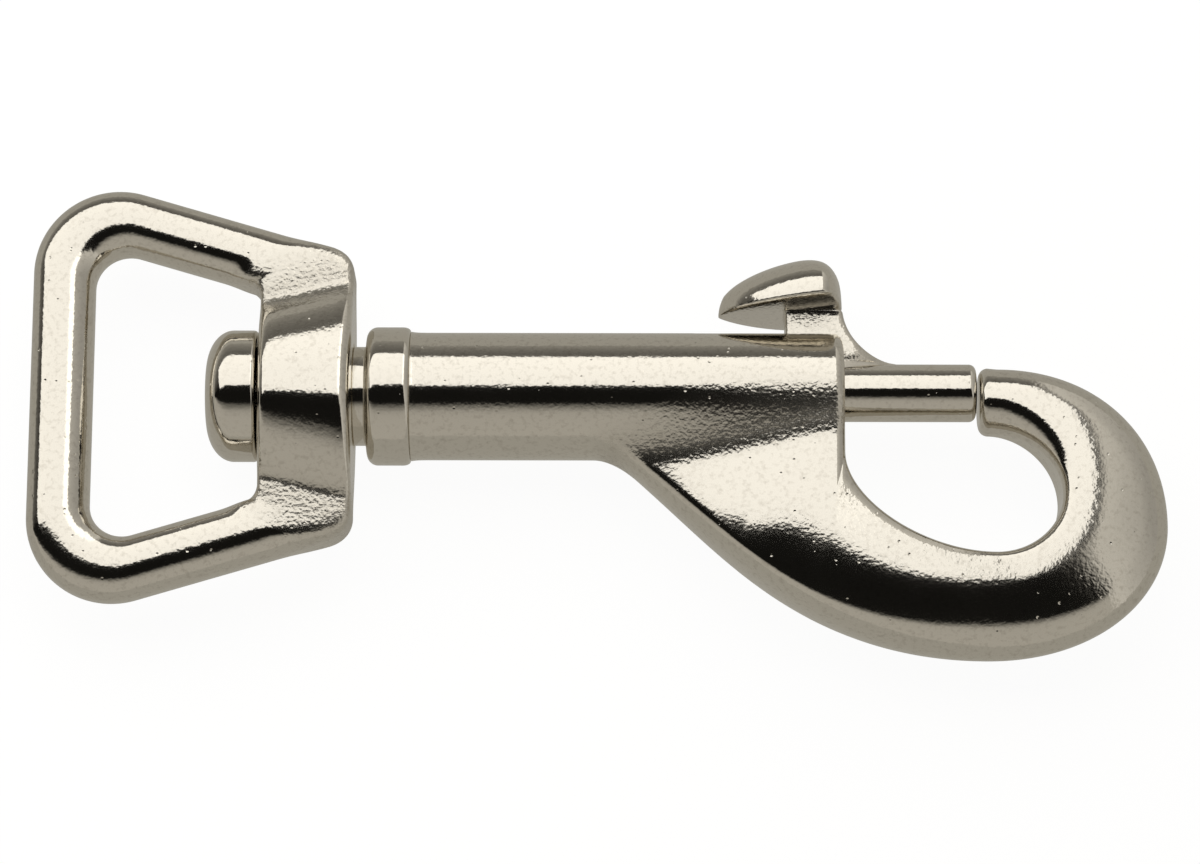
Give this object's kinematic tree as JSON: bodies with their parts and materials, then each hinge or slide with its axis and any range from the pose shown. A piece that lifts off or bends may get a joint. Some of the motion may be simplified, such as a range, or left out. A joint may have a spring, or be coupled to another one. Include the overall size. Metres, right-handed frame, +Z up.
{
  "type": "swivel snap hook",
  "caption": "Sprung bolt snap hook with a round bend, a thumb-piece and a turning strap eye held by a riveted stud.",
  "frame": {"origin": "middle of the eye's strap bar, on the swivel axis", "axes": "+X along the swivel from the eye to the hook, +Y to the thumb side, +Z up, away from the surface it lies on"},
  "size_m": [0.0835, 0.0354, 0.0112],
  "materials": {
    "hook_casting": "nickel plated over a fine cast grain, mirror bright",
    "bolt_casting": "nickel plated and bright, rough on the post's sides",
    "spring_wire": "drawn spring wire",
    "stud_metal": "nickel plated, turned and bright",
    "eye_casting": "nickel plated over a fine cast grain, mirror bright"
  },
  "bodies": {
    "body": {"hook_body": "hook_casting", "swivel_stud": "stud_metal", "bolt_spring": "spring_wire"},
    "bolt": {"bolt": "bolt_casting"},
    "eye": {"swivel_eye": "eye_casting"}
  },
  "joints": [
    {"name": "eye_swivel", "type": "hinge", "parent": "body", "child": "eye", "pos_m": [0, 0, 0], "axis": [1, 0, 0], "continuous": true},
    {"name": "bolt_slide", "type": "slide", "parent": "body", "child": "bolt", "axis": [-1, 0, 0], "range_m": [0, 0.0063], "stiffness_N_per_m": 600, "springref_m": -0.004, "deforming": ["bolt_spring"]}
  ]
}
